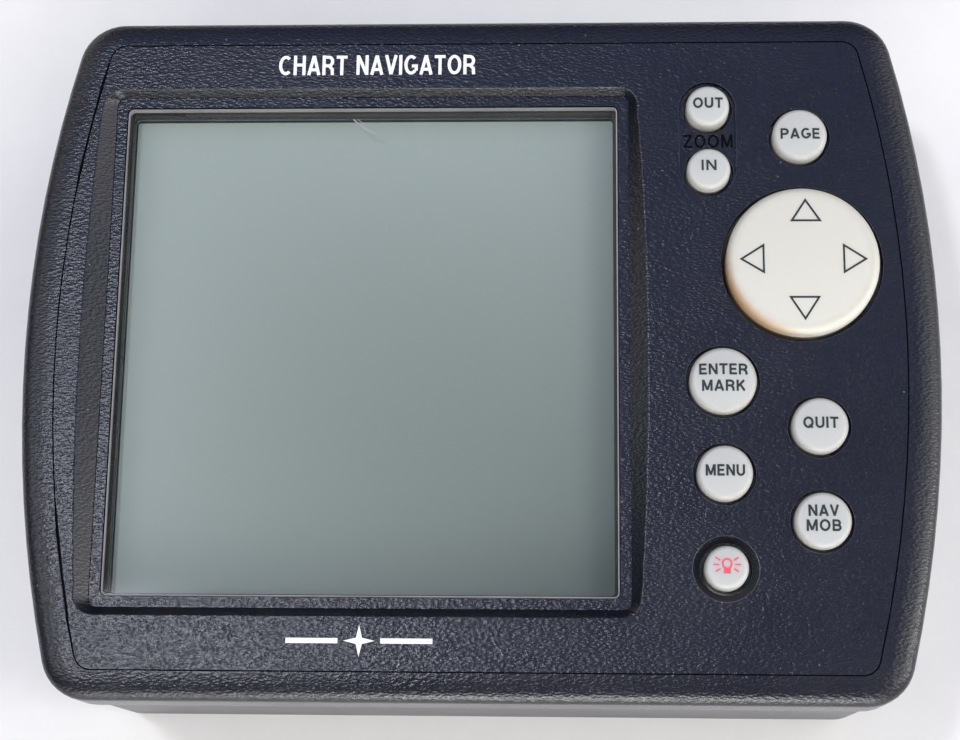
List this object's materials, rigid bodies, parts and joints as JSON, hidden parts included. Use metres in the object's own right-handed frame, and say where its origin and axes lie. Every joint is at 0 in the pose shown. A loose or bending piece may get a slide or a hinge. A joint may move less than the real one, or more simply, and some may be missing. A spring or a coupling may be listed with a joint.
{
  "type": "panel mount gps map navigator",
  "caption": "Dark moulded case with a square LCD window, round function keys, a four-way rocker pad, side bracket inserts and rear sockets; it lies on its back.",
  "frame": {"origin": "centre of the footprint on the surface the navigator lies on", "axes": "+X to the right of the face, +Y to the top of the face, +Z out of the screen"},
  "size_m": [0.1644, 0.126, 0.0572],
  "materials": {
    "case_front": "moulded leather grain, dark navy black",
    "case_rear": "moulded fine grain",
    "black_rubber": "moulded",
    "steel": "zinc plated",
    "window": "polished acrylic plate",
    "black_tape": "acrylic foam tape",
    "black_foam": "open cell foam",
    "black_steel": "black oxide",
    "polariser": "anti glare film",
    "lcd": "liquid crystal cell",
    "diffuser": "frosted film",
    "clear_acrylic": "polished",
    "lamp": "frosted tube",
    "white_plastic": "moulded",
    "green_board": "solder mask",
    "polyimide": "flexible circuit",
    "gold": "gold plated",
    "silicone": "moulded silicone",
    "chip_black": "epoxy moulding",
    "capacitor": "sleeved can",
    "cell_steel": "nickel plated",
    "connector_cream": "moulded nylon",
    "tin_plate": "tin plated",
    "ceramic": "fired ceramic",
    "brass": "turned",
    "cable_black": "extruded jacket",
    "nickel": "nickel plated brass",
    "ptfe": "turned",
    "black_nylon": "moulded nylon",
    "wire_red": "extruded PVC",
    "label_silver": "blank foil",
    "connector_black": "moulded",
    "card_grey": "moulded",
    "pivot_zinc": "die cast",
    "rocker_cream": "translucent silicone, aged",
    "key_white": "translucent silicone"
  },
  "bodies": {
    "case": {"front_housing": "case_front", "rear_housing": "case_rear", "housing_gasket": "black_rubber", "housing_screws": "steel", "display_window": "window", "window_tape": "black_tape", "dust_gasket": "black_foam", "lcd_bezel": "black_steel", "front_polariser": "polariser", "lcd_glass": "lcd", "backlight_diffuser": "diffuser", "backlight_guide": "clear_acrylic", "backlight_lamp": "lamp", "lcd_chassis": "white_plastic", "lcd_driver_board": "green_board", "lcd_flex_cable": "polyimide", "front_screws": "steel", "keypad_board": "green_board", "contact_pads": "gold", "keypad_mat": "silicone", "keypad_flex_cable": "polyimide", "main_board": "green_board", "board_screws": "steel", "processor_chip": "chip_black", "memory_chips": "chip_black", "capacitors": "capacitor", "beeper": "chip_black", "backup_battery": "cell_steel", "board_connectors": "connector_cream", "receiver_board": "green_board", "receiver_shield": "tin_plate", "antenna_patch": "ceramic", "antenna_ground_plate": "brass", "antenna_coax": "cable_black", "antenna_socket": "nickel", "antenna_insulator": "ptfe", "antenna_nut": "nickel", "power_socket": "black_nylon", "power_contacts": "gold", "power_nut": "black_nylon", "power_seal": "black_rubber", "power_wires": "wire_red", "bracket_inserts": "brass", "blank_label": "label_silver", "card_socket": "connector_black", "data_card": "card_grey", "door_seal": "black_rubber", "door_hinge_pin": "steel", "rocker_post": "white_plastic"},
    "rocker_gimbal": {"rocker_gimbal": "pivot_zinc"},
    "rocker_pad": {"rocker_pad": "rocker_cream"},
    "card_door": {"card_door": "case_rear"},
    "key_zoom_out": {"key_zoom_out": "key_white"},
    "key_zoom_in": {"key_zoom_in": "key_white"},
    "key_page": {"key_page": "key_white"},
    "key_enter": {"key_enter": "key_white"},
    "key_menu": {"key_menu": "key_white"},
    "key_light": {"key_light": "key_white"},
    "key_quit": {"key_quit": "key_white"},
    "key_nav": {"key_nav": "key_white"}
  },
  "joints": [
    {"name": "press_zoom_out", "type": "slide", "parent": "case", "child": "key_zoom_out", "axis": [0, 0, -1], "range_m": [0, 0.0009], "stiffness_N_per_m": 900, "springref_m": -0.0012},
    {"name": "press_zoom_in", "type": "slide", "parent": "case", "child": "key_zoom_in", "axis": [0, 0, -1], "range_m": [0, 0.0009], "stiffness_N_per_m": 900, "springref_m": -0.0012},
    {"name": "press_page", "type": "slide", "parent": "case", "child": "key_page", "axis": [0, 0, -1], "range_m": [0, 0.0009], "stiffness_N_per_m": 900, "springref_m": -0.0012},
    {"name": "press_enter", "type": "slide", "parent": "case", "child": "key_enter", "axis": [0, 0, -1], "range_m": [0, 0.0009], "stiffness_N_per_m": 900, "springref_m": -0.0012},
    {"name": "press_menu", "type": "slide", "parent": "case", "child": "key_menu", "axis": [0, 0, -1], "range_m": [0, 0.0009], "stiffness_N_per_m": 900, "springref_m": -0.0012},
    {"name": "press_light", "type": "slide", "parent": "case", "child": "key_light", "axis": [0, 0, -1], "range_m": [0, 0.0009], "stiffness_N_per_m": 900, "springref_m": -0.0012},
    {"name": "press_quit", "type": "slide", "parent": "case", "child": "key_quit", "axis": [0, 0, -1], "range_m": [0, 0.0009], "stiffness_N_per_m": 900, "springref_m": -0.0012},
    {"name": "press_nav", "type": "slide", "parent": "case", "child": "key_nav", "axis": [0, 0, -1], "range_m": [0, 0.0009], "stiffness_N_per_m": 900, "springref_m": -0.0012},
    {"name": "rocker_up_down", "type": "hinge", "parent": "case", "child": "rocker_gimbal", "pos_m": [0.0579, 0.0152, 0.0492], "axis": [1, 0, 0], "range_deg": [-3, 3], "stiffness_Nm_per_rad": 0.4},
    {"name": "rocker_left_right", "type": "hinge", "parent": "rocker_gimbal", "child": "rocker_pad", "pos_m": [0.0579, 0.0152, 0.0492], "axis": [0, 1, 0], "range_deg": [-3, 3], "stiffness_Nm_per_rad": 0.4},
    {"name": "card_door_hinge", "type": "hinge", "parent": "case", "child": "card_door", "pos_m": [0, 0.0402, 0.013], "axis": [-1, 0, 0], "range_deg": [0, 95]}
  ]
}
